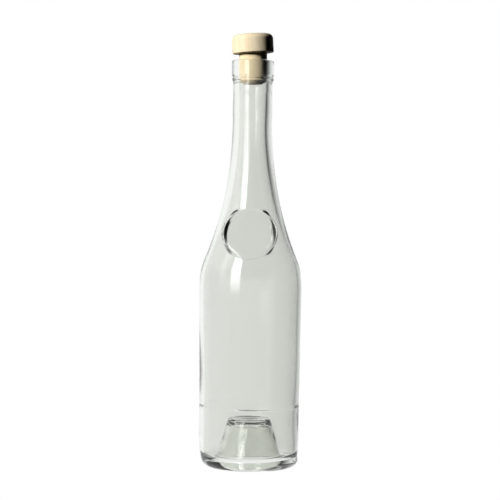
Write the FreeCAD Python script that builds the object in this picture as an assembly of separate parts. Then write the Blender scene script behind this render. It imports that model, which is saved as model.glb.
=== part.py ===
import FreeCAD, Part
import math
import os

# Clear glass bottle with a turned wooden stopper, as three pieces.
# Millimetres, +Z up. The origin is the middle of the foot, on the surface the bottle stands on.
# The front, which carries the oval seal, faces -Y.
# An outline is drawn as (radius, height) points and turned about the bottle's axis.

# ---- driving dimensions -------------------------------------------------------------------

# foot and heel
HEEL_RADIUS = 34.1
HEEL_ROUNDING = 7.0
HEEL_SEAM_Z = 7.4               # where the mould's base plate met its body
HEEL_SEAM_STEP = 0.12
HEEL_SEAM_HEIGHT = 0.6

# hollow under the foot
PUNT_MOUTH_RADIUS = 24.0
PUNT_MOUTH_ROUNDING = 3.0
PUNT_TOP_RADIUS = 11.9
PUNT_TOP_Z = 30.0
PUNT_TOP_ROUNDING = 5.0

# body
LOWER_BODY_RADIUS = 34.85
LOWER_BODY_Z = 19.0             # below this the body draws in towards the heel
LOWER_BODY_ROUNDING = 150.0
RING_Z = 42.5                   # the fine raised line around the lower body
RING_HALF_WIDTH = 0.7
RING_PROUD = 0.13
UPPER_BODY_RADIUS = 34.8        # just above the raised line
SHOULDER_RADIUS = 35.75         # where the shoulder starts to turn in
SHOULDER_Z = 122.0

# shoulder and neck, going up: (radius of the curve, lean from upright that it turns to)
OUTER_TURNS = ((86.0, 8.9), (38.0, 22.5), (239.0, 6.0), (330.0, 0.0))
INNER_TURNS = ((84.8, 8.7), (43.2, 23.9), (224.0, 4.2), (259.0, 0.0))

# glass thickness, and the floor and punt as they show inside
BODY_WALL = 2.9                 # at the foot of the shoulder
FLOOR_Z = 6.0
FLOOR_RADIUS = 31.4
FLOOR_ROUNDING = 6.0
CONE_FOOT_RADIUS = 23.0
CONE_FOOT_ROUNDING = 2.0
CONE_TOP_RADIUS = 14.6
CONE_TOP_Z = 33.8
CONE_TOP_ROUNDING = 2.2
CONE_TOP_DISH = 1.2

# lip
GLASS_HEIGHT = 283.5
LIP_RADIUS = 14.7
LIP_BAND_Z = 273.2              # where the lip's plain band starts
LIP_ROUNDING = 1.2
GROOVE_RADIUS = 14.1
GROOVE_LOW_Z = 271.3
GROOVE_HIGH_Z = 271.9
BEAD_RADIUS = 14.6
BEAD_Z = 270.3
BEAD_FOOT_Z = 269.2
NECK_TOP_Z = 267.4
MOUTH_ROUNDING = 0.8
BORE_RADIUS = 9.78
BORE_FOOT_Z = 262.0
BORE_TAPER_FOOT_Z = 259.0

# seal: an oval plug of glass with a flatter face than the shoulder, and a raised rim
SEAL_Z = 162.8
SEAL_BACK_Y = -12.0             # planes of the plug's two ends, before it is trimmed
SEAL_FRONT_Y = -36.0
SEAL_BACK_HALF = (20.2, 17.4)   # half width, half height
SEAL_FRONT_HALF = (18.0, 16.8)
SEAL_FACE_Y = -27.3             # the face's middle
SEAL_FACE_LEAN = 18.1           # degrees from upright, top leaning back
SEAL_DISH_HALF = (15.9, 15.4)
SEAL_DISH_DEPTH = 0.1
SEAL_HOLLOW_HALF = (17.4, 15.0)  # flat place on the inside of the wall, behind the seal
SEAL_WALL = 4.7                 # glass between that flat and the seal's face
TRIM_SIZE = 60.0                # larger than the seal in every direction

# stopper
SHANK_RADIUS = 9.7
SHANK_FOOT_Z = 267.0
SHANK_CHAMFER = 3.0
SHANK_CHAMFER_HEIGHT = 3.3
HEAD_RADIUS = 14.4
HEAD_FOOT_Z = 288.6
HEAD_TOP_Z = 301.7
HEAD_TOP_ROUNDING = 3.6
HEAD_FOOT_ROUNDING = 0.6
SOCKET_TOP_Z = 292.9            # the shank is glued into a socket in the head
GLUE_GAP = 0.05
HEAD_TILT = 3.4                 # degrees; the head is glued on a little askew, leaning towards -X


# ---- outlines -------------------------------------------------------------------------------

class Outline:
    """A line drawn piece by piece in the plane of radius and height."""

    def __init__(self, radius, height):
        self.start = (radius, height)
        self.here = (radius, height)
        self.edges = []

    @staticmethod
    def place(point):
        return FreeCAD.Vector(point[0], 0, point[1])

    def line(self, radius, height):
        self.edges.append(Part.LineSegment(self.place(self.here), self.place((radius, height))).toShape())
        self.here = (radius, height)

    def arc(self, middle, end):
        self.edges.append(Part.Arc(self.place(self.here), self.place(middle), self.place(end)).toShape())
        self.here = end

    def bend(self, corner, beyond, rounding):
        """A straight run towards a corner, then a tangent arc that turns towards the point beyond it."""
        corner_place = self.place(corner)
        back = (self.place(self.here) - corner_place).normalize()
        ahead = (self.place(beyond) - corner_place).normalize()
        half_opening = back.getAngle(ahead) / 2
        to_tangent = rounding / math.tan(half_opening)
        inward = (back + ahead).normalize()
        middle = corner_place + inward * (rounding / math.sin(half_opening) - rounding)
        tangent_in = corner_place + back * to_tangent
        tangent_out = corner_place + ahead * to_tangent
        self.line(tangent_in.x, tangent_in.z)
        self.arc((middle.x, middle.z), (tangent_out.x, tangent_out.z))

    def turns(self, lean, turn_list):
        """A chain of arcs, each tangent to the last, that goes up from here with this lean inwards."""
        for curve_radius, next_lean in turn_list:
            centre_side = 1 if next_lean > lean else -1

            def point_at(angle, origin=self.here, start_lean=lean, reach=centre_side * curve_radius):
                rise = math.sin(math.radians(angle)) - math.sin(math.radians(start_lean))
                out = math.cos(math.radians(angle)) - math.cos(math.radians(start_lean))
                return (origin[0] + reach * out, origin[1] + reach * rise)

            self.arc(point_at((lean + next_lean) / 2), point_at(next_lean))
            lean = next_lean

    def lean_to(self, radius, height):
        """Lean inwards, in degrees, of the straight line from here up to this point."""
        return math.degrees(math.atan((self.here[0] - radius) / (height - self.here[1])))

    def turned(self):
        """The solid swept by the closed outline about the bottle's axis."""
        self.line(*self.start)
        face = Part.Face(Part.Wire(self.edges))
        return face.revolve(FreeCAD.Vector(0, 0, 0), FreeCAD.Vector(0, 0, 1), 360)


# ---- glass ----------------------------------------------------------------------------------

def glass_outside():
    """Everything inside the bottle's outer surface; the hollow under the foot is left out."""
    edge = Outline(0, PUNT_TOP_Z)
    edge.bend((PUNT_TOP_RADIUS, PUNT_TOP_Z), (PUNT_MOUTH_RADIUS, 0), PUNT_TOP_ROUNDING)
    edge.bend((PUNT_MOUTH_RADIUS, 0), (HEEL_RADIUS, 0), PUNT_MOUTH_ROUNDING)
    edge.bend((HEEL_RADIUS, 0), (HEEL_RADIUS, HEEL_SEAM_Z), HEEL_ROUNDING)
    edge.line(HEEL_RADIUS, HEEL_SEAM_Z)
    edge.line(HEEL_RADIUS + HEEL_SEAM_STEP, HEEL_SEAM_Z + HEEL_SEAM_HEIGHT)
    edge.bend((LOWER_BODY_RADIUS, LOWER_BODY_Z), (LOWER_BODY_RADIUS, RING_Z), LOWER_BODY_ROUNDING)
    edge.line(LOWER_BODY_RADIUS, RING_Z - RING_HALF_WIDTH)
    edge.arc((LOWER_BODY_RADIUS + RING_PROUD, RING_Z), (UPPER_BODY_RADIUS, RING_Z + RING_HALF_WIDTH))
    body_lean = edge.lean_to(SHOULDER_RADIUS, SHOULDER_Z)
    edge.line(SHOULDER_RADIUS, SHOULDER_Z)
    edge.turns(body_lean, OUTER_TURNS)
    neck_radius = edge.here[0]
    edge.line(neck_radius, NECK_TOP_Z)
    edge.line(GROOVE_RADIUS, BEAD_FOOT_Z)
    edge.arc((BEAD_RADIUS, BEAD_Z), (GROOVE_RADIUS, GROOVE_LOW_Z))
    edge.line(GROOVE_RADIUS, GROOVE_HIGH_Z)
    edge.line(LIP_RADIUS, LIP_BAND_Z)
    edge.bend((LIP_RADIUS, GLASS_HEIGHT), (0, GLASS_HEIGHT), LIP_ROUNDING)
    edge.line(0, GLASS_HEIGHT)
    return edge.turned()


def glass_inside():
    """The space inside the bottle, from the floor up through the mouth."""
    wall_radius = SHOULDER_RADIUS - BODY_WALL
    mouth_radius = BORE_RADIUS + MOUTH_ROUNDING
    edge = Outline(0, CONE_TOP_Z - CONE_TOP_DISH)
    edge.bend((CONE_TOP_RADIUS, CONE_TOP_Z), (CONE_FOOT_RADIUS, FLOOR_Z), CONE_TOP_ROUNDING)
    edge.bend((CONE_FOOT_RADIUS, FLOOR_Z), (FLOOR_RADIUS, FLOOR_Z), CONE_FOOT_ROUNDING)
    edge.bend((FLOOR_RADIUS, FLOOR_Z), (wall_radius, SHOULDER_Z), FLOOR_ROUNDING)
    body_lean = edge.lean_to(wall_radius, SHOULDER_Z)
    edge.line(wall_radius, SHOULDER_Z)
    edge.turns(body_lean, INNER_TURNS)
    edge.line(edge.here[0], BORE_TAPER_FOOT_Z)
    edge.line(BORE_RADIUS, BORE_FOOT_Z)
    edge.line(BORE_RADIUS, GLASS_HEIGHT - MOUTH_ROUNDING)
    quarter_turn = MOUTH_ROUNDING * math.sqrt(0.5)
    edge.arc((mouth_radius - quarter_turn, GLASS_HEIGHT - MOUTH_ROUNDING + quarter_turn),
             (mouth_radius, GLASS_HEIGHT))
    edge.line(mouth_radius, GLASS_HEIGHT + 1)
    edge.line(0, GLASS_HEIGHT + 1)
    return edge.turned()


def oval(half_width, half_height):
    """A flat oval wire about the origin in the XZ plane."""
    across = FreeCAD.Vector(half_width, 0, 0)
    upward = FreeCAD.Vector(0, 0, half_height)
    longer, shorter = (across, upward) if half_width > half_height else (upward, across)
    return Part.Wire([Part.Ellipse(longer, shorter, FreeCAD.Vector(0, 0, 0)).toShape()])


def seal_face_space(in_front):
    """The seal face's own space, moved this far in front of it; its -Y points out of the glass."""
    lean = FreeCAD.Rotation(FreeCAD.Vector(1, 0, 0), -SEAL_FACE_LEAN)
    middle = FreeCAD.Vector(0, SEAL_FACE_Y, SEAL_Z)
    return FreeCAD.Placement(middle + lean.multVec(FreeCAD.Vector(0, -in_front, 0)), lean)


def seal_plug():
    """The oval plug that stands proud of the shoulder, trimmed to its leaning face."""
    ends = []
    for plane_y, half_sizes in ((SEAL_BACK_Y, SEAL_BACK_HALF), (SEAL_FRONT_Y, SEAL_FRONT_HALF)):
        wire = oval(*half_sizes)
        wire.translate(FreeCAD.Vector(0, plane_y, SEAL_Z))
        ends.append(wire)
    make_solid, straight_sides = True, True
    plug = Part.makeLoft(ends, make_solid, straight_sides)
    corner = FreeCAD.Vector(-TRIM_SIZE / 2, 0, -TRIM_SIZE / 2)
    behind_face = Part.makeBox(TRIM_SIZE, TRIM_SIZE, TRIM_SIZE, corner)
    behind_face.Placement = seal_face_space(0)
    return plug.common(behind_face)


def seal_dish():
    """What is cut from the seal's face to leave a raised rim around it."""
    clear_of_face = 5.0
    dish = Part.Face(oval(*SEAL_DISH_HALF)).extrude(FreeCAD.Vector(0, clear_of_face + SEAL_DISH_DEPTH, 0))
    dish.Placement = seal_face_space(clear_of_face)
    return dish


def seal_hollow():
    """Where the inside of the wall follows the glass out into the seal, leaving it evenly thick."""
    prism = Part.Face(oval(*SEAL_HOLLOW_HALF)).extrude(FreeCAD.Vector(0, SEAL_FRONT_Y, 0))
    prism.translate(FreeCAD.Vector(0, 0, SEAL_Z))
    corner = FreeCAD.Vector(-TRIM_SIZE / 2, 0, -TRIM_SIZE / 2)
    behind_wall = Part.makeBox(TRIM_SIZE, TRIM_SIZE, TRIM_SIZE, corner)
    behind_wall.Placement = seal_face_space(-SEAL_WALL)
    return prism.common(behind_wall)


def glass_bottle():
    outside = glass_outside().fuse(seal_plug()).cut(seal_dish())
    return outside.cut(glass_inside().fuse(seal_hollow())).removeSplitter()


# ---- stopper --------------------------------------------------------------------------------

def stopper_head():
    """Turned wooden head: rounded top edge, crisp foot, an upright round socket underneath."""
    edge = Outline(0, HEAD_FOOT_Z)
    edge.bend((HEAD_RADIUS, HEAD_FOOT_Z), (HEAD_RADIUS, HEAD_TOP_Z), HEAD_FOOT_ROUNDING)
    edge.bend((HEAD_RADIUS, HEAD_TOP_Z), (0, HEAD_TOP_Z), HEAD_TOP_ROUNDING)
    edge.line(0, HEAD_TOP_Z)
    head = edge.turned()
    foot_middle = FreeCAD.Vector(0, 0, HEAD_FOOT_Z)
    head.rotate(foot_middle, FreeCAD.Vector(0, 1, 0), -HEAD_TILT)
    below = FreeCAD.Vector(0, 0, -HEAD_RADIUS)
    socket = Part.makeCylinder(SHANK_RADIUS + GLUE_GAP, SOCKET_TOP_Z - HEAD_FOOT_Z + HEAD_RADIUS,
                               foot_middle + below)
    return head.cut(socket)


def stopper_shank():
    """Plain round plug with a chamfered lower end, standing in the head's socket."""
    edge = Outline(0, SHANK_FOOT_Z)
    edge.line(SHANK_RADIUS - SHANK_CHAMFER, SHANK_FOOT_Z)
    edge.line(SHANK_RADIUS, SHANK_FOOT_Z + SHANK_CHAMFER_HEIGHT)
    edge.line(SHANK_RADIUS, SOCKET_TOP_Z)
    edge.line(0, SOCKET_TOP_Z)
    return edge.turned()


# ---- output ---------------------------------------------------------------------------------

os.makedirs("parts", exist_ok=True)
for make_node in (glass_bottle, stopper_head, stopper_shank):
    shape = make_node()
    shape.exportStep("parts/" + make_node.__name__ + ".step")
    box = shape.optimalBoundingBox(False, False)
    print(make_node.__name__, "valid" if shape.isValid() else "INVALID", "solids", len(shape.Solids),
          "volume cm3 %.2f" % (shape.Volume / 1000),
          "z %.2f to %.2f, width %.2f" % (box.ZMin, box.ZMax, box.XLength))
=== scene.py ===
import bpy
import bmesh
import math
from mathutils import Euler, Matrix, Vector


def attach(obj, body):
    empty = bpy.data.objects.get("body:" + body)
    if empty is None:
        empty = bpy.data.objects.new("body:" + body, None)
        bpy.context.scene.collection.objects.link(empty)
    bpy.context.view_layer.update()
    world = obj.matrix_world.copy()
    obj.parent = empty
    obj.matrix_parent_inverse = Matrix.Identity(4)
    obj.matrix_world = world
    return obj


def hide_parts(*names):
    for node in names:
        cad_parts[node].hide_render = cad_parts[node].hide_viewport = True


# Clear glass bottle with an oval moulded seal and a turned wooden stopper.
# Shapes are worked out in millimetres and scaled to metres when a mesh is made.
# +Z is up and the front, which carries the seal, faces -Y.

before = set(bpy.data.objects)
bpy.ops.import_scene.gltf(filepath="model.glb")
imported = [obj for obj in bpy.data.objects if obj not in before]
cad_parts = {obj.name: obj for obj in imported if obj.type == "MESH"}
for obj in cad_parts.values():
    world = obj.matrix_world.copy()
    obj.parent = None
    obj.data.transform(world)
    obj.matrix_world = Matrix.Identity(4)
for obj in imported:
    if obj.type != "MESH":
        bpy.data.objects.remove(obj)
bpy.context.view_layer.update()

# ---- driving dimensions -------------------------------------------------------------------

MM = 0.001
TINY = 1e-6
MARGIN = 1.0                    # tells one stretch of an outline from the next
AROUND = 264                    # faces around a turned piece
COLUMN_CROWDING = 0.15          # draws the inner wall's columns together beside the seal
COLUMN_CROWDS = 4               # and at as many places in all

# camera
CAMERA_DISTANCE = 1.245
CAMERA_HEIGHT = 0.184
CAMERA_AZIMUTH = 2.8            # degrees towards the object's right
CAMERA_PITCH = 1.5              # degrees downwards
CAMERA_ROLL = 0.68              # degrees
CAMERA_LENS = 128.3
CAMERA_SENSOR = 36.0            # the sensor's width
CAMERA_SIDESTEP = 0.0006        # metres to the left, so the bottle stands right of the middle

# foot and heel
HEEL_RADIUS = 34.1
HEEL_ROUNDING = 7.0
HEEL_SEAM_Z = 7.4               # where the mould's base plate met its body
HEEL_SEAM_STEP = 0.12
HEEL_SEAM_HEIGHT = 0.6
HEEL_SEAM_ROUNDING = 0.3
BASE_PLATE_SHIFT = 0.9          # the base plate sat this far towards +X
SHIFT_EASES_LEFT = (1.0, 16.0)  # heights between which that shift fades out, on each side
SHIFT_EASES_RIGHT = (3.5, 8.0)

# hollow under the foot
PUNT_MOUTH_RADIUS = 24.0
PUNT_MOUTH_ROUNDING = 3.0
PUNT_TOP_RADIUS = 11.9
PUNT_TOP_Z = 30.0
PUNT_TOP_ROUNDING = 5.0

# body
LOWER_BODY_RADIUS = 34.85
LOWER_BODY_Z = 19.0
LOWER_BODY_ROUNDING = 150.0
RING_Z = 42.5
RING_HALF_WIDTH = 0.7
RING_PROUD = 0.13
UPPER_BODY_RADIUS = 34.8
SHOULDER_RADIUS = 35.75
SHOULDER_Z = 122.0

# shoulder and neck, going up: (radius of the curve, lean from upright that it turns to)
OUTER_TURNS = ((86.0, 8.9), (38.0, 22.5), (239.0, 6.0), (330.0, 0.0))
INNER_TURNS = ((84.8, 8.7), (43.2, 23.9), (224.0, 4.2), (259.0, 0.0))

# glass thickness, and the floor and punt as they show inside
BODY_WALL = 2.9
FLOOR_Z = 6.0
FLOOR_RADIUS = 31.4
FLOOR_ROUNDING = 6.0
CONE_FOOT_RADIUS = 23.0
CONE_FOOT_ROUNDING = 2.0
CONE_TOP_RADIUS = 14.6
CONE_TOP_Z = 33.8
CONE_TOP_ROUNDING = 2.2
CONE_TOP_DISH = 1.2

# unevenness of the inside: each wave is (number around, height per radian, start, share)
WALL_WAVE = 0.10
WALL_WAVES = ((2, 31, 0.0, 1.0), (3, -17, 1.3, 0.6), (5, 11, 0.4, 0.35))
WALL_WAVE_EASES_IN = (14, 34)   # heights between which the waves start and stop
WALL_WAVE_EASES_OUT = (225, 255)
CONE_WAVE = 0.22
CONE_WAVES = ((3, 2.7, 0.0, 1.0), (5, -2.1, 2.0, 0.7))
CONE_WAVE_EASES_IN = (10, 14)
CONE_WAVE_EASES_OUT = (28, 32)

# lip
GLASS_HEIGHT = 283.5
LIP_RADIUS = 14.7
LIP_BAND_Z = 273.2
LIP_ROUNDING = 1.2
GROOVE_RADIUS = 14.1
GROOVE_LOW_Z = 271.3
GROOVE_HIGH_Z = 271.9
BEAD_RADIUS = 14.6
BEAD_Z = 270.3
BEAD_FOOT_Z = 269.2
NECK_TOP_Z = 267.4
NECK_SWELL = 0.25               # faint swelling of the upper neck
NECK_SWELL_Z = 249.0
NECK_SWELL_HALF_HEIGHT = 6.0
MOUTH_ROUNDING = 0.8
BORE_RADIUS = 9.78
BORE_FOOT_Z = 262.0
BORE_TAPER_FOOT_Z = 259.0

# seal
SEAL_Z = 162.8
SEAL_BACK_Y = -12.0
SEAL_FRONT_Y = -36.0
SEAL_BACK_HALF = (20.2, 17.4)
SEAL_FRONT_HALF = (18.0, 16.8)
SEAL_FACE_Y = -27.3
SEAL_FACE_LEAN = 18.1
SEAL_DISH_HALF = (15.9, 15.4)
SEAL_DISH_DEPTH = 0.1
SEAL_DISH_STEP = 0.5
SEAL_FOOT_FILLET = 0.5
SEAL_EDGE_FILLET = 0.55
SEAL_DISH_FILLET = 0.2
SEAL_HOLLOW_REACH = (20.3, 17.0)    # half width and height of the flat place on the inside of the wall
SEAL_HOLLOW_X = 0.3             # that place sits this far towards +X
SEAL_HOLLOW_EDGE = 0.10         # how soft its edge is, as a share of its size
SEAL_HOLLOW_SIDES = 60          # degrees off the front, past which there is none of it
SEAL_PATCH_HALF_ANGLE = 62.5    # the piece of shoulder that the seal's own mesh takes over
SEAL_PATCH_Z = (138.5, 187.5)
SEAL_PATCH_RADIUS = 24.0        # the shoulder's radius about there
SEAL_APPROACH = (0.15, 0.3, 0.45, 0.6, 0.72, 0.82, 0.9)    # rings from the patch's border to the seal
SEAL_FOOT_SHARE = 0.96          # the last of them
SEAL_FACE_START = 0.9           # rings across the face, as shares of the dish
SEAL_FACE_RINGS = (0.8, 0.65, 0.5, 0.35, 0.2, 0.1)
FILLET_STEPS = 4
FILLET_LIMIT = 0.45             # a fillet takes no more than this share of a side
HALVINGS = 40

# stopper
SHANK_RADIUS = 9.7
SHANK_FOOT_Z = 267.0
SHANK_CHAMFER = 3.0
SHANK_CHAMFER_HEIGHT = 3.3
HEAD_RADIUS = 14.4
HEAD_FOOT_Z = 288.6
HEAD_TOP_Z = 301.7
HEAD_TOP_ROUNDING = 3.6
HEAD_FOOT_ROUNDING = 0.6
SOCKET_TOP_Z = 292.9
GLUE_GAP = 0.05
HEAD_TILT = 3.4

# walls and window in metres, by azimuth in degrees from behind towards +X
LIGHT_COLOUR = (0.985, 1.0, 0.995)
CARD_STEP = 2                   # degrees between a curved card's columns
CARD_COLUMNS = 24               # the least number of them
CARD_ROWS = 72
SURROUND_RADIUS = 1.7
SURROUND_Z = (-1.2, 2.4)
SURROUND = (                    # (azimuth, brightness)
    (-180, 0.75), (-140, 0.75), (-132, 1.2), (-105, 1.2), (-58, 1.05), (-20, 1.05), (-4, 0.94),
    (4, 0.87), (20, 0.74), (33, 0.5), (46, 0.28), (60, 0.08), (75, 0.03), (115, 0.03),
    (135, 0.75), (180, 0.75))
DARK_TOP_Z = (0.3, 0.6)         # above the camera the wall on its side is dark
DARK_TOP_SIDES = (110.0, 130.0)     # azimuths, on either side, between which that sets in
TABLE_GLOW = 0.9
TABLE_BLEND_Z = (-0.55, -0.15)
FLOOR_REACH = 6.0               # metres from the middle to each side
FLOOR_LEVEL = -0.0002           # just under the foot
WINDOW_RADIUS = 1.6
WINDOW_Z = (0.0, 2.4)
WINDOW_FOOT_FADE = 0.75
BRIGHT_PANE = (-160, -130)
BRIGHT_PANE_FADES = (3.0, 7.0)
BRIGHT_PANE_STRENGTH = 9.0
SOFT_PANE = (-137, -98)
SOFT_PANE_FADES = (4.0, 16.0)
SOFT_PANE_STRENGTH = 1.2

# lamps, by azimuth in degrees from the front towards +X
LAMP_AIM = (0, 0, 0.2)
LAMP_DISTANCE = 1.3
LAMP_SIZE = (0.12, 0.2)
KEY_AZIMUTH = -47.0
KEY_ELEVATION = 22.0
KEY_POWER = 23.5
BACK_AZIMUTH = 188.0
BACK_ELEVATION = 12.0
BACK_POWER = 9.0

# how finely outlines are cut into points
LINE_SPACING = 3.2
NEAR_END_STEPS = (0.25, 0.8)    # extra points near a line's ends keep the shading true
NEAR_END_LIMIT = 0.3            # as a share of the line's length
ARC_CHORD = 1.2
ARC_STEP = 12.0                 # degrees


# ---- outlines -----------------------------------------------------------------------------

class Outline:
    """A row of (radius, height) points, drawn piece by piece."""

    def __init__(self, radius, height):
        self.points = [(radius, height)]

    @property
    def here(self):
        return self.points[-1]

    def line(self, radius, height):
        start = Vector(self.here)
        end = Vector((radius, height))
        length = (end - start).length
        if length < TINY:
            return
        near_start = [step for step in NEAR_END_STEPS if step < length * NEAR_END_LIMIT]
        near_end = [length - step for step in near_start]
        inner_length = length - 2 * max(near_start, default=0)
        count = int(inner_length / LINE_SPACING)
        offset = (length - inner_length) / 2
        between = [offset + inner_length * i / (count + 1) for i in range(1, count + 1)]
        for stop in sorted(near_start + near_end + between):
            self.points.append(tuple(start.lerp(end, stop / length)))
        self.points.append((radius, height))

    def arc(self, middle, end):
        """An arc through the middle point to the end."""
        a, b, c = Vector(self.here), Vector(middle), Vector(end)
        across, beyond = b - a, c - a
        twice_area = 2 * (across.x * beyond.y - across.y * beyond.x)
        centre = a + Vector((
            (beyond.y * across.length_squared - across.y * beyond.length_squared) / twice_area,
            (across.x * beyond.length_squared - beyond.x * across.length_squared) / twice_area))
        radius = (a - centre).length
        start_angle = math.atan2(a.y - centre.y, a.x - centre.x)
        end_angle = math.atan2(c.y - centre.y, c.x - centre.x)
        turn = end_angle - start_angle
        wanted_sign = 1 if twice_area > 0 else -1
        if turn * wanted_sign < 0:
            turn += wanted_sign * 2 * math.pi
        count = max(math.ceil(abs(turn) * radius / ARC_CHORD),
                    math.ceil(math.degrees(abs(turn)) / ARC_STEP), 2)
        for i in range(1, count + 1):
            angle = start_angle + turn * i / count
            self.points.append((centre.x + radius * math.cos(angle), centre.y + radius * math.sin(angle)))

    def bend(self, corner, beyond, rounding):
        """A straight run towards a corner, then a tangent arc that turns towards the point beyond it."""
        corner_point = Vector(corner)
        back = (Vector(self.here) - corner_point).normalized()
        ahead = (Vector(beyond) - corner_point).normalized()
        half_opening = back.angle(ahead) / 2
        to_tangent = rounding / math.tan(half_opening)
        inward = (back + ahead).normalized()
        middle = corner_point + inward * (rounding / math.sin(half_opening) - rounding)
        self.line(*(corner_point + back * to_tangent))
        self.arc(middle, tuple(corner_point + ahead * to_tangent))

    def turns(self, lean, turn_list):
        """A chain of arcs, each tangent to the last, that goes up from here with this lean inwards."""
        for curve_radius, next_lean in turn_list:
            reach = curve_radius if next_lean > lean else -curve_radius
            origin = self.here

            def point_at(angle, origin=origin, lean=lean, reach=reach):
                rise = math.sin(math.radians(angle)) - math.sin(math.radians(lean))
                out = math.cos(math.radians(angle)) - math.cos(math.radians(lean))
                return (origin[0] + reach * out, origin[1] + reach * rise)

            self.arc(point_at((lean + next_lean) / 2), point_at(next_lean))
            lean = next_lean

    def lean_to(self, radius, height):
        """Lean inwards, in degrees, of the straight line from here up to this point."""
        return math.degrees(math.atan((self.here[0] - radius) / (height - self.here[1])))


def glass_outside():
    """The glass's outer line, from the middle of the hollow under the foot up to the lip's top edge."""
    edge = Outline(0, PUNT_TOP_Z)
    edge.bend((PUNT_TOP_RADIUS, PUNT_TOP_Z), (PUNT_MOUTH_RADIUS, 0), PUNT_TOP_ROUNDING)
    edge.bend((PUNT_MOUTH_RADIUS, 0), (HEEL_RADIUS, 0), PUNT_MOUTH_ROUNDING)
    edge.bend((HEEL_RADIUS, 0), (HEEL_RADIUS, HEEL_SEAM_Z), HEEL_ROUNDING)
    seam_top = (HEEL_RADIUS + HEEL_SEAM_STEP, HEEL_SEAM_Z + HEEL_SEAM_HEIGHT)
    edge.bend((HEEL_RADIUS, HEEL_SEAM_Z), seam_top, HEEL_SEAM_ROUNDING)
    edge.bend(seam_top, (LOWER_BODY_RADIUS, LOWER_BODY_Z), HEEL_SEAM_ROUNDING)
    edge.bend((LOWER_BODY_RADIUS, LOWER_BODY_Z), (LOWER_BODY_RADIUS, RING_Z), LOWER_BODY_ROUNDING)
    edge.line(LOWER_BODY_RADIUS, RING_Z - RING_HALF_WIDTH)
    edge.arc((LOWER_BODY_RADIUS + RING_PROUD, RING_Z), (UPPER_BODY_RADIUS, RING_Z + RING_HALF_WIDTH))
    body_lean = edge.lean_to(SHOULDER_RADIUS, SHOULDER_Z)
    edge.line(SHOULDER_RADIUS, SHOULDER_Z)
    edge.turns(body_lean, OUTER_TURNS)
    edge.line(edge.here[0], NECK_TOP_Z)
    edge.line(GROOVE_RADIUS, BEAD_FOOT_Z)
    edge.arc((BEAD_RADIUS, BEAD_Z), (GROOVE_RADIUS, GROOVE_LOW_Z))
    edge.line(GROOVE_RADIUS, GROOVE_HIGH_Z)
    edge.line(LIP_RADIUS, LIP_BAND_Z)
    edge.bend((LIP_RADIUS, GLASS_HEIGHT), (0, GLASS_HEIGHT), LIP_ROUNDING)
    return edge.points


def glass_inside():
    """The glass's inner line, from the middle of the raised floor up to the mouth's edge."""
    wall_radius = SHOULDER_RADIUS - BODY_WALL
    mouth_radius = BORE_RADIUS + MOUTH_ROUNDING
    edge = Outline(0, CONE_TOP_Z - CONE_TOP_DISH)
    edge.bend((CONE_TOP_RADIUS, CONE_TOP_Z), (CONE_FOOT_RADIUS, FLOOR_Z), CONE_TOP_ROUNDING)
    edge.bend((CONE_FOOT_RADIUS, FLOOR_Z), (FLOOR_RADIUS, FLOOR_Z), CONE_FOOT_ROUNDING)
    edge.bend((FLOOR_RADIUS, FLOOR_Z), (wall_radius, SHOULDER_Z), FLOOR_ROUNDING)
    body_lean = edge.lean_to(wall_radius, SHOULDER_Z)
    edge.line(wall_radius, SHOULDER_Z)
    edge.turns(body_lean, INNER_TURNS)
    edge.line(edge.here[0], BORE_TAPER_FOOT_Z)
    edge.line(BORE_RADIUS, BORE_FOOT_Z)
    edge.line(BORE_RADIUS, GLASS_HEIGHT - MOUTH_ROUNDING)
    quarter_turn = MOUTH_ROUNDING * math.sqrt(0.5)
    edge.arc((mouth_radius - quarter_turn, GLASS_HEIGHT - MOUTH_ROUNDING + quarter_turn),
             (mouth_radius, GLASS_HEIGHT))
    return edge.points


# ---- meshes -------------------------------------------------------------------------------

def smooth_step(low, high, value):
    """0 below low, 1 above high, easing in between."""
    share = min(1.0, max(0.0, (value - low) / (high - low)))
    return share * share * (3 - 2 * share)


def around_axis(radius, angle, height):
    """A point by its radius, its angle from the front towards +X, and its height."""
    return Vector((radius * math.sin(angle), -radius * math.cos(angle), height))


def mesh_object(name, points, faces, body, material):
    """A smooth closed mesh from points in millimetres, riding on a CAD body."""
    mesh = bpy.data.meshes.new(name)
    mesh.from_pydata([tuple(Vector(p) * MM) for p in points], [], faces)
    work = bmesh.new()
    work.from_mesh(mesh)
    bmesh.ops.recalc_face_normals(work, faces=work.faces)
    work.to_mesh(mesh)
    work.free()
    mesh.polygons.foreach_set("use_smooth", [True] * len(mesh.polygons))
    mesh.materials.append(material)
    thing = bpy.data.objects.new(name, mesh)
    bpy.context.scene.collection.objects.link(thing)
    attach(thing, body)
    return thing


def turned_grid(outline, place):
    """Points and faces of an outline turned about the axis. An outline point on the axis becomes a pole."""
    points, rows, faces = [], [], []
    for radius, height in outline:
        steps = 1 if radius < TINY else AROUND
        rows.append([len(points) + i for i in range(steps)])
        points += [place(radius, 2 * math.pi * i / AROUND, height) for i in range(steps)]
    for low, high in zip(rows, rows[1:]):
        for i in range(AROUND):
            corners = []
            for row, step in ((low, i), (low, i + 1), (high, i + 1), (high, i)):
                corner = row[step % len(row)]
                if corner not in corners:
                    corners.append(corner)
            faces.append(tuple(corners))
    return points, rows, faces


def waves(wave_list, angle, height):
    """Slow waves around and along the bottle, added up."""
    return sum(share * math.sin(number * angle + height / pitch + start)
               for number, pitch, start, share in wave_list)


def wall_unevenness(angle, height):
    """How far the inside of the blown wall strays outwards."""
    share = smooth_step(*WALL_WAVE_EASES_IN, height) * (1 - smooth_step(*WALL_WAVE_EASES_OUT, height))
    return WALL_WAVE * share * waves(WALL_WAVES, angle, height)


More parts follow.
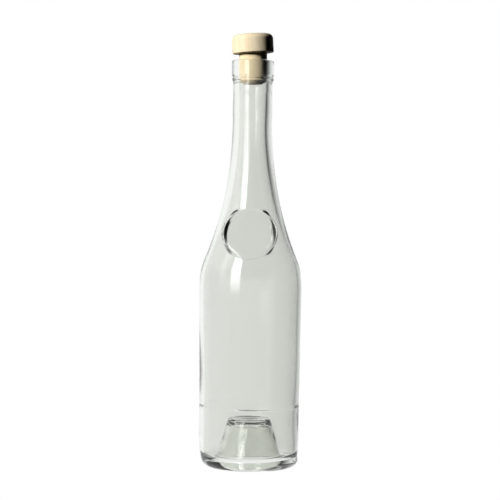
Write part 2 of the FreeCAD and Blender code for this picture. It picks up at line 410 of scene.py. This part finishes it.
def seal_hollow(radius, angle, height):
    """How far the inside of the wall follows the glass out into the seal, leaving it evenly thick."""
    off_front = (angle + math.pi) % (2 * math.pi) - math.pi
    if abs(off_front) > math.radians(SEAL_HOLLOW_SIDES):
        return 0.0
    across = radius * math.tan(off_front) - SEAL_HOLLOW_X
    reach = math.hypot(across / SEAL_HOLLOW_REACH[0], (height - SEAL_Z) / SEAL_HOLLOW_REACH[1])
    share = 1 - smooth_step(1 - SEAL_HOLLOW_EDGE, 1 + SEAL_HOLLOW_EDGE, reach)
    return share * radius * (1 / math.cos(off_front) - 1)


def cone_unevenness(angle, height):
    """Ripples in the raised floor, where the glass chilled against the plunger."""
    share = smooth_step(*CONE_WAVE_EASES_IN, height) * (1 - smooth_step(*CONE_WAVE_EASES_OUT, height))
    return CONE_WAVE * share * waves(CONE_WAVES, angle, height)


def glass_mesh(material):
    """The whole bottle as one closed mesh: outside with the seal, inside, and the rim between them."""
    outside, inside = glass_outside(), glass_inside()

    def place_outside(radius, angle, height):
        swell = NECK_SWELL * math.exp(-((height - NECK_SWELL_Z) / NECK_SWELL_HALF_HEIGHT) ** 2)
        spot = around_axis(radius + swell, angle, height)
        under_foot = radius < HEEL_RADIUS - HEEL_ROUNDING and height < PUNT_TOP_Z + MARGIN
        if under_foot:
            spot.x += BASE_PLATE_SHIFT
            return spot
        rightness = (1 + math.sin(angle)) / 2
        low = SHIFT_EASES_LEFT[0] + (SHIFT_EASES_RIGHT[0] - SHIFT_EASES_LEFT[0]) * rightness
        high = SHIFT_EASES_LEFT[1] + (SHIFT_EASES_RIGHT[1] - SHIFT_EASES_LEFT[1]) * rightness
        spot.x += BASE_PLATE_SHIFT * (1 - smooth_step(low, high, height))
        return spot

    def place_inside(radius, angle, height):
        on_cone = radius < CONE_FOOT_RADIUS + MARGIN and height < CONE_TOP_Z
        if on_cone:
            return around_axis(radius + cone_unevenness(angle, height), angle, height)
        angle += COLUMN_CROWDING * math.sin(COLUMN_CROWDS * angle)
        outwards = wall_unevenness(angle, height) + seal_hollow(radius, angle, height)
        return around_axis(radius + outwards, angle, height)

    points, rows, faces = turned_grid(outside, place_outside)
    inner_points, inner_rows, inner_faces = turned_grid(inside, place_inside)
    shift = len(points)
    points += inner_points
    inner_rows = [[i + shift for i in row] for row in inner_rows]
    inner_faces = [tuple(i + shift for i in face) for face in inner_faces]
    rim = [(rows[-1][i], rows[-1][(i + 1) % AROUND], inner_rows[-1][(i + 1) % AROUND], inner_rows[-1][i])
           for i in range(AROUND)]
    faces = with_seal(points, rows, faces, outside)
    return mesh_object("glass", points, faces + inner_faces + rim, "bottle", material)


# ---- seal ---------------------------------------------------------------------------------

def shoulder_radius(outside, height):
    """The outer line's radius at this height, on the shoulder or neck."""
    for low, high in zip(outside, outside[1:]):
        if low[1] <= height <= high[1] and low[1] > SHOULDER_Z:
            return low[0] + (high[0] - low[0]) * (height - low[1]) / (high[1] - low[1])
    raise ValueError("height is not on the shoulder or neck")


def seal_face_y(z):
    """The seal's face: a leaning plane."""
    return SEAL_FACE_Y + (z - SEAL_Z) * math.tan(math.radians(SEAL_FACE_LEAN))


def side_point(turn, y):
    """A point on the seal's side wall, at this turn around the oval and this depth."""
    share = (y - SEAL_FRONT_Y) / (SEAL_BACK_Y - SEAL_FRONT_Y)
    half_width = SEAL_FRONT_HALF[0] + (SEAL_BACK_HALF[0] - SEAL_FRONT_HALF[0]) * share
    half_height = SEAL_FRONT_HALF[1] + (SEAL_BACK_HALF[1] - SEAL_FRONT_HALF[1]) * share
    return Vector((half_width * math.cos(turn), y, SEAL_Z + half_height * math.sin(turn)))


def meeting_point(turn, gap):
    """Where the side wall's line at this turn crosses the surface that gap(point) is 0 on, by halving."""
    front, back = SEAL_FRONT_Y, SEAL_BACK_Y
    for _ in range(HALVINGS):
        middle = (front + back) / 2
        if gap(side_point(turn, middle)) > 0:
            front = middle
        else:
            back = middle
    return side_point(turn, (front + back) / 2)


def towards(corner, other, fillet):
    """The point on the side from this corner to the other one where the corner's fillet ends."""
    side = other - corner
    return corner + side.normalized() * min(fillet, side.length * FILLET_LIMIT)


def rounded(points, fillets):
    """A 3-D line through these corners, each corner eased by its own fillet."""
    line = [points[0]]
    for before, corner, after, fillet in zip(points, points[1:], points[2:], fillets):
        start, end = towards(corner, before, fillet), towards(corner, after, fillet)
        for i in range(FILLET_STEPS + 1):
            share = i / FILLET_STEPS
            line.append(start.lerp(corner, share).lerp(corner.lerp(end, share), share))
    line.append(points[-1])
    return line


def patch_border(rows, first, last, half_steps):
    """The patch's border, all the way round: each point's index, and its column and row in the grid."""
    columns = range(-half_steps, half_steps + 1)
    border = [(rows[first][i % AROUND], i, first) for i in columns]
    border += [(rows[j][half_steps % AROUND], half_steps, j) for j in range(first + 1, last + 1)]
    border += [(rows[last][i % AROUND], i, last) for i in reversed(columns[:-1])]
    border += [(rows[j][-half_steps % AROUND], -half_steps, j) for j in range(last - 1, first, -1)]
    return border


def without_patch(faces, rows, first, last, half_steps):
    """The grid's faces, less those of the patch."""
    taken = set()
    for j in range(first, last):
        for i in range(-half_steps, half_steps):
            taken.add(frozenset((rows[j][i % AROUND], rows[j][(i + 1) % AROUND],
                                 rows[j + 1][(i + 1) % AROUND], rows[j + 1][i % AROUND])))
    return [face for face in faces if frozenset(face) not in taken]


def on_dish(x, z):
    """A point on the floor of the face's shallow dish."""
    return Vector((x, seal_face_y(z) + SEAL_DISH_DEPTH, z))


def seal_spoke(outside, border_angle, border_height):
    """A line of points from the patch's border over the shoulder, up the seal's side and across its face."""
    def shoulder_gap(spot):
        return math.hypot(spot.x, spot.y) - shoulder_radius(outside, spot.z)

    def face_gap(spot):
        return seal_face_y(spot.z) - spot.y

    across = border_angle * SEAL_PATCH_RADIUS
    turn = math.atan2((border_height - SEAL_Z) / SEAL_BACK_HALF[1], across / SEAL_BACK_HALF[0])
    foot = meeting_point(turn, shoulder_gap)
    foot_angle = math.atan2(foot.x, -foot.y)

    def approach(share):
        angle = border_angle + (foot_angle - border_angle) * share
        height = border_height + (foot.z - border_height) * share
        return around_axis(shoulder_radius(outside, height), angle, height)

    edge = meeting_point(turn, face_gap)
    rim_x = SEAL_DISH_HALF[0] * math.cos(turn)
    rim_z = SEAL_Z + SEAL_DISH_HALF[1] * math.sin(turn) * math.cos(math.radians(SEAL_FACE_LEAN))
    rim = Vector((rim_x, seal_face_y(rim_z), rim_z))
    shrink = 1 - SEAL_DISH_STEP / SEAL_DISH_HALF[0]
    dish_x, dish_z = rim_x * shrink, SEAL_Z + (rim_z - SEAL_Z) * shrink

    def across_face(share):
        return on_dish(dish_x * share, SEAL_Z + (dish_z - SEAL_Z) * share)

    corners = [approach(SEAL_FOOT_SHARE), foot, edge, rim, across_face(1), across_face(SEAL_FACE_START)]
    fillets = (SEAL_FOOT_FILLET, SEAL_EDGE_FILLET, SEAL_DISH_FILLET, SEAL_DISH_FILLET)
    spoke = [approach(share) for share in SEAL_APPROACH]
    spoke += rounded(corners, fillets)
    spoke += [across_face(share) for share in SEAL_FACE_RINGS]
    return spoke


def with_seal(points, rows, faces, outside):
    """Takes a patch of shoulder out of the grid and fits the seal's own rings into it."""
    half_steps = round(SEAL_PATCH_HALF_ANGLE / 360 * AROUND)
    on_patch = [j for j, (_, height) in enumerate(outside) if SEAL_PATCH_Z[0] < height < SEAL_PATCH_Z[1]]
    first, last = on_patch[0], on_patch[-1]
    border = patch_border(rows, first, last, half_steps)
    kept = without_patch(faces, rows, first, last, half_steps)
    spokes = [seal_spoke(outside, 2 * math.pi * column / AROUND, outside[row][1])
              for _, column, row in border]
    rings = [[index for index, _, _ in border]]
    for ring in zip(*spokes):
        rings.append(list(range(len(points), len(points) + len(ring))))
        points += ring
    count = len(spokes)
    for outer, inner in zip(rings, rings[1:]):
        kept += [(outer[k], outer[(k + 1) % count], inner[(k + 1) % count], inner[k]) for k in range(count)]
    centre = len(points)
    points.append(on_dish(0, SEAL_Z))
    kept += [(rings[-1][k], rings[-1][(k + 1) % count], centre) for k in range(count)]
    return kept


# ---- stopper ------------------------------------------------------------------------------

def head_mesh(material):
    """Turned wooden head, a little askew, over an upright round socket."""
    socket_radius = SHANK_RADIUS + GLUE_GAP
    edge = Outline(0, SOCKET_TOP_Z)
    edge.line(socket_radius, SOCKET_TOP_Z)
    edge.line(socket_radius, HEAD_FOOT_Z)
    edge.bend((HEAD_RADIUS, HEAD_FOOT_Z), (HEAD_RADIUS, HEAD_TOP_Z), HEAD_FOOT_ROUNDING)
    edge.bend((HEAD_RADIUS, HEAD_TOP_Z), (0, HEAD_TOP_Z), HEAD_TOP_ROUNDING)
    edge.line(0, HEAD_TOP_Z)
    askew = Euler((0, math.radians(-HEAD_TILT), 0)).to_matrix()
    foot_middle = Vector((0, 0, HEAD_FOOT_Z))

    def place(radius, angle, height):
        spot = around_axis(radius, angle, height)
        in_socket = radius <= socket_radius and HEAD_FOOT_Z < height <= SOCKET_TOP_Z
        return spot if in_socket else foot_middle + askew @ (spot - foot_middle)

    points, _, faces = turned_grid(edge.points, place)
    return mesh_object("head", points, faces, "stopper", material)


def shank_mesh(material):
    """Plain round plug with a chamfered lower end."""
    edge = Outline(0, SHANK_FOOT_Z)
    edge.line(SHANK_RADIUS - SHANK_CHAMFER, SHANK_FOOT_Z)
    edge.line(SHANK_RADIUS, SHANK_FOOT_Z + SHANK_CHAMFER_HEIGHT)
    edge.line(SHANK_RADIUS, SOCKET_TOP_Z)
    edge.line(0, SOCKET_TOP_Z)
    points, _, faces = turned_grid(edge.points, around_axis)
    return mesh_object("shank", points, faces, "stopper", material)


# ---- materials ----------------------------------------------------------------------------

def new_material(name):
    material = bpy.data.materials.new(name)
    material.use_nodes = True
    nodes = material.node_tree.nodes
    return material, nodes, material.node_tree.links, nodes["Principled BSDF"]


def glass_material():
    """Clear glass with a faint grey-green tint."""
    material, _, _, shader = new_material("clear_glass")
    shader.inputs["Base Color"].default_value = (0.86, 0.87, 0.84, 1)
    shader.inputs["Transmission Weight"].default_value = 1.0
    shader.inputs["Roughness"].default_value = 0.0
    shader.inputs["IOR"].default_value = 1.52
    return material


def noise(nodes, links, source, scale, detail, stretch=(1, 1, 1)):
    """A noise texture in the piece's own space, drawn out along an axis by a small stretch value."""
    mapping = nodes.new("ShaderNodeMapping")
    mapping.inputs["Scale"].default_value = stretch
    links.new(source, mapping.inputs["Vector"])
    texture = nodes.new("ShaderNodeTexNoise")
    texture.inputs["Scale"].default_value = scale
    texture.inputs["Detail"].default_value = detail
    links.new(mapping.outputs[0], texture.inputs["Vector"])
    return texture.outputs["Fac"]


def ramp(nodes, links, source, span, dark, pale):
    """Colours from dark to pale as the source runs over this span."""
    colours = nodes.new("ShaderNodeValToRGB")
    colours.color_ramp.elements[0].position = span[0]
    colours.color_ramp.elements[0].color = (*dark, 1)
    colours.color_ramp.elements[1].position = span[1]
    colours.color_ramp.elements[1].color = (*pale, 1)
    links.new(source, colours.inputs["Fac"])
    return colours.outputs["Color"]


def multiplied(nodes, links, first, second):
    """One colour darkened by another."""
    mix = nodes.new("ShaderNodeMix")
    mix.data_type = "RGBA"
    mix.blend_type = "MULTIPLY"
    mix.inputs["Factor"].default_value = 1.0
    links.new(first, mix.inputs["A"])
    links.new(second, mix.inputs["B"])
    return mix.outputs["Result"]


def bumped(nodes, links, shader, height, distance):
    """Gives the surface the relief of this height pattern, this many metres deep."""
    bump = nodes.new("ShaderNodeBump")
    bump.inputs["Distance"].default_value = distance
    bump.inputs["Strength"].default_value = 1.0
    links.new(height, bump.inputs["Height"])
    links.new(bump.outputs["Normal"], shader.inputs["Normal"])


def wood_material():
    """Pale close-grained wood: growth rings about an axis off to one side, fine fibres and pores."""
    material, nodes, links, shader = new_material("pale_wood")
    place = nodes.new("ShaderNodeTexCoord").outputs["Object"]
    to_pith = nodes.new("ShaderNodeMapping")
    to_pith.inputs["Location"].default_value = (0.021, 0.013, 0)
    to_pith.inputs["Rotation"].default_value = (math.radians(4), math.radians(-3), 0)
    links.new(place, to_pith.inputs["Vector"])
    rings = nodes.new("ShaderNodeTexWave")
    rings.wave_type = "RINGS"
    rings.rings_direction = "Z"
    rings.inputs["Scale"].default_value = 130.0
    rings.inputs["Distortion"].default_value = 1.6
    rings.inputs["Detail"].default_value = 2.0
    rings.inputs["Detail Scale"].default_value = 0.6
    links.new(to_pith.outputs[0], rings.inputs["Vector"])
    growth = ramp(nodes, links, rings.outputs["Fac"], span=(0.1, 0.9),
                  dark=(0.83, 0.70, 0.475), pale=(0.87, 0.745, 0.53))
    fibre_height = noise(nodes, links, place, scale=1500, detail=3, stretch=(1, 1, 0.05))
    fibres = ramp(nodes, links, fibre_height, span=(0.35, 0.65), dark=(0.93, 0.91, 0.88), pale=(1, 1, 1))
    pore_height = noise(nodes, links, place, scale=2600, detail=1, stretch=(1, 1, 0.12))
    pores = ramp(nodes, links, pore_height, span=(0.27, 0.33), dark=(0.72, 0.64, 0.52), pale=(1, 1, 1))
    grained = multiplied(nodes, links, growth, fibres)
    links.new(multiplied(nodes, links, grained, pores), shader.inputs["Base Color"])
    shader.inputs["Roughness"].default_value = 0.55
    shader.inputs["Specular IOR Level"].default_value = 0.05
    bumped(nodes, links, shader, fibre_height, distance=0.00004)
    return material


def shank_material():
    """Foamed synthetic cork: fine open cells with a faint mottle."""
    material, nodes, links, shader = new_material("shank_cork")
    place = nodes.new("ShaderNodeTexCoord").outputs["Object"]
    mottle_height = noise(nodes, links, place, scale=330, detail=3)
    mottle = ramp(nodes, links, mottle_height, span=(0.35, 0.7),
                  dark=(0.79, 0.64, 0.39), pale=(0.85, 0.71, 0.47))
    cells = nodes.new("ShaderNodeTexVoronoi")
    cells.inputs["Scale"].default_value = 2300.0
    links.new(place, cells.inputs["Vector"])
    pits = ramp(nodes, links, cells.outputs["Distance"], span=(0.12, 0.42),
                dark=(0.84, 0.80, 0.73), pale=(1, 1, 1))
    links.new(multiplied(nodes, links, mottle, pits), shader.inputs["Base Color"])
    shader.inputs["Roughness"].default_value = 0.62
    shader.inputs["Specular IOR Level"].default_value = 0.05
    bumped(nodes, links, shader, cells.outputs["Distance"], distance=0.00005)
    return material


# ---- stage --------------------------------------------------------------------------------

def light_material(name, colour):
    """A material that only glows."""
    material = bpy.data.materials.new(name)
    material.use_nodes = True
    nodes = material.node_tree.nodes
    nodes.clear()
    glow = nodes.new("ShaderNodeEmission")
    glow.inputs["Color"].default_value = (*colour, 1)
    glow.inputs["Strength"].default_value = 1.0
    out = nodes.new("ShaderNodeOutputMaterial")
    material.node_tree.links.new(glow.outputs[0], out.inputs["Surface"])
    return material


def glow_card(name, radius, azimuths, z_range, glow_at):
    """A card that curves around the object and lights only what it is mirrored in or seen through.

    Azimuth is in degrees from behind towards +X. glow_at(azimuth, z) is the card's brightness there.
    """
    columns = max(CARD_COLUMNS, round((azimuths[1] - azimuths[0]) / CARD_STEP))
    points, faces, glow = [], [], []
    for i in range(columns + 1):
        azimuth = azimuths[0] + (azimuths[1] - azimuths[0]) * i / columns
        angle = math.radians(azimuth)
        for j in range(CARD_ROWS + 1):
            z = z_range[0] + (z_range[1] - z_range[0]) * j / CARD_ROWS
            points.append((radius * math.sin(angle), radius * math.cos(angle), z))
            glow.append(glow_at(azimuth, z))
    for i in range(columns):
        for j in range(CARD_ROWS):
            corner = i * (CARD_ROWS + 1) + j
            faces.append((corner, corner + CARD_ROWS + 1, corner + CARD_ROWS + 2, corner + 1))
    mesh = bpy.data.meshes.new(name)
    mesh.from_pydata(points, [], faces)
    mesh.attributes.new("glow", "FLOAT", "POINT").data.foreach_set("value", glow)
    material = light_material(name, LIGHT_COLOUR)
    nodes, links = material.node_tree.nodes, material.node_tree.links
    brightness = nodes.new("ShaderNodeAttribute")
    brightness.attribute_name = "glow"
    links.new(brightness.outputs["Fac"], nodes["Emission"].inputs["Strength"])
    mesh.materials.append(material)
    card = bpy.data.objects.new(name, mesh)
    bpy.context.scene.collection.objects.link(card)
    card.visible_camera = False
    card.visible_diffuse = False
    card.visible_shadow = False


def surround_glow(azimuth, z):
    """Brightness of the studio walls, joined up from the stops in SURROUND, and of the pale table."""
    low, high = next(pair for pair in zip(SURROUND, SURROUND[1:]) if azimuth <= pair[1][0])
    wall = low[1] + (high[1] - low[1]) * (azimuth - low[0]) / (high[0] - low[0])
    dark_share = smooth_step(*DARK_TOP_Z, z) * smooth_step(*DARK_TOP_SIDES, abs(azimuth))
    wall *= 1 - dark_share
    table_share = 1 - smooth_step(*TABLE_BLEND_Z, z)
    return wall + (TABLE_GLOW - wall) * table_share


def pane_glow(azimuths, fades, strength):
    """Brightness of one pane of a tall window, softened at both sides and fading at its foot."""
    def glow_at(azimuth, z):
        first_side = smooth_step(azimuths[0], azimuths[0] + fades[0], azimuth)
        other_side = 1 - smooth_step(azimuths[1] - fades[1], azimuths[1], azimuth)
        foot = min(1.0, (z - WINDOW_Z[0]) / WINDOW_FOOT_FADE)
        return surround_glow(azimuth, z) + strength * first_side * other_side * foot

    return glow_at


def area_light(name, azimuth, elevation, power):
    """A lamp that lights the stopper and isn't mirrored in the glass."""
    light = bpy.data.lights.new(name, "AREA")
    light.shape = "RECTANGLE"
    light.size, light.size_y = LAMP_SIZE
    light.energy = power
    lamp = bpy.data.objects.new(name, light)
    turn, rise = math.radians(azimuth), math.radians(elevation)
    out = Vector((math.sin(turn) * math.cos(rise), -math.cos(turn) * math.cos(rise), math.sin(rise)))
    lamp.location = Vector(LAMP_AIM) + out * LAMP_DISTANCE
    lamp.rotation_euler = (-out).to_track_quat("-Z", "Y").to_euler()
    bpy.context.scene.collection.objects.link(lamp)
    lamp.visible_camera = False
    lamp.visible_glossy = False
    lamp.visible_transmission = False


def make_floor():
    """A plain white floor that the camera sees and the glass doesn't."""
    mesh = bpy.data.meshes.new("floor")
    corners = [(-1, -1), (1, -1), (1, 1), (-1, 1)]
    mesh.from_pydata([(x * FLOOR_REACH, y * FLOOR_REACH, 0) for x, y in corners], [], [(0, 1, 2, 3)])
    mesh.materials.append(light_material("floor", (1, 1, 1)))
    floor = bpy.data.objects.new("floor", mesh)
    bpy.context.scene.collection.objects.link(floor)
    floor.location.z = FLOOR_LEVEL
    floor.visible_diffuse = False
    floor.visible_glossy = False
    floor.visible_transmission = False


def make_world():
    """A white backdrop that doesn't light matt surfaces."""
    world = bpy.data.worlds.new("studio")
    bpy.context.scene.world = world
    world.use_nodes = True
    world.node_tree.nodes["Background"].inputs["Color"].default_value = (1, 1, 1, 1)
    world.node_tree.nodes["Background"].inputs["Strength"].default_value = 1.0
    world.cycles_visibility.diffuse = False


def make_camera():
    """A long lens at the front, a little to the right and very slightly rolled."""
    data = bpy.data.cameras.new("camera")
    data.lens = CAMERA_LENS
    data.sensor_width = CAMERA_SENSOR
    camera = bpy.data.objects.new("camera", data)
    azimuth = math.radians(CAMERA_AZIMUTH)
    camera.location = (CAMERA_DISTANCE * math.sin(azimuth) - CAMERA_SIDESTEP,
                       -CAMERA_DISTANCE * math.cos(azimuth), CAMERA_HEIGHT)
    upright = Euler((math.radians(90 - CAMERA_PITCH), 0, azimuth), "XYZ").to_quaternion()
    roll = Euler((0, 0, math.radians(CAMERA_ROLL)), "XYZ").to_quaternion()
    camera.rotation_mode = "QUATERNION"
    camera.rotation_quaternion = upright @ roll
    bpy.context.scene.collection.objects.link(camera)
    bpy.context.scene.camera = camera


# ---- build --------------------------------------------------------------------------------

glass = glass_mesh(glass_material())
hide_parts("glass_bottle")
head = head_mesh(wood_material())
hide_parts("stopper_head")
shank = shank_mesh(shank_material())
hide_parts("stopper_shank")

make_floor()
make_world()
make_camera()
glow_card("surround", SURROUND_RADIUS, (-180, 180), SURROUND_Z, surround_glow)
glow_card("bright_pane", WINDOW_RADIUS, BRIGHT_PANE, WINDOW_Z,
          pane_glow(BRIGHT_PANE, BRIGHT_PANE_FADES, BRIGHT_PANE_STRENGTH))
glow_card("soft_pane", WINDOW_RADIUS, SOFT_PANE, WINDOW_Z,
          pane_glow(SOFT_PANE, SOFT_PANE_FADES, SOFT_PANE_STRENGTH))
area_light("key", KEY_AZIMUTH, KEY_ELEVATION, KEY_POWER)
area_light("back", BACK_AZIMUTH, BACK_ELEVATION, BACK_POWER)

# the lamps reach the shank through the neck as if the glass weren't there
glass.visible_shadow = False
glass.visible_diffuse = False
bpy.context.scene.view_settings.view_transform = "Standard"
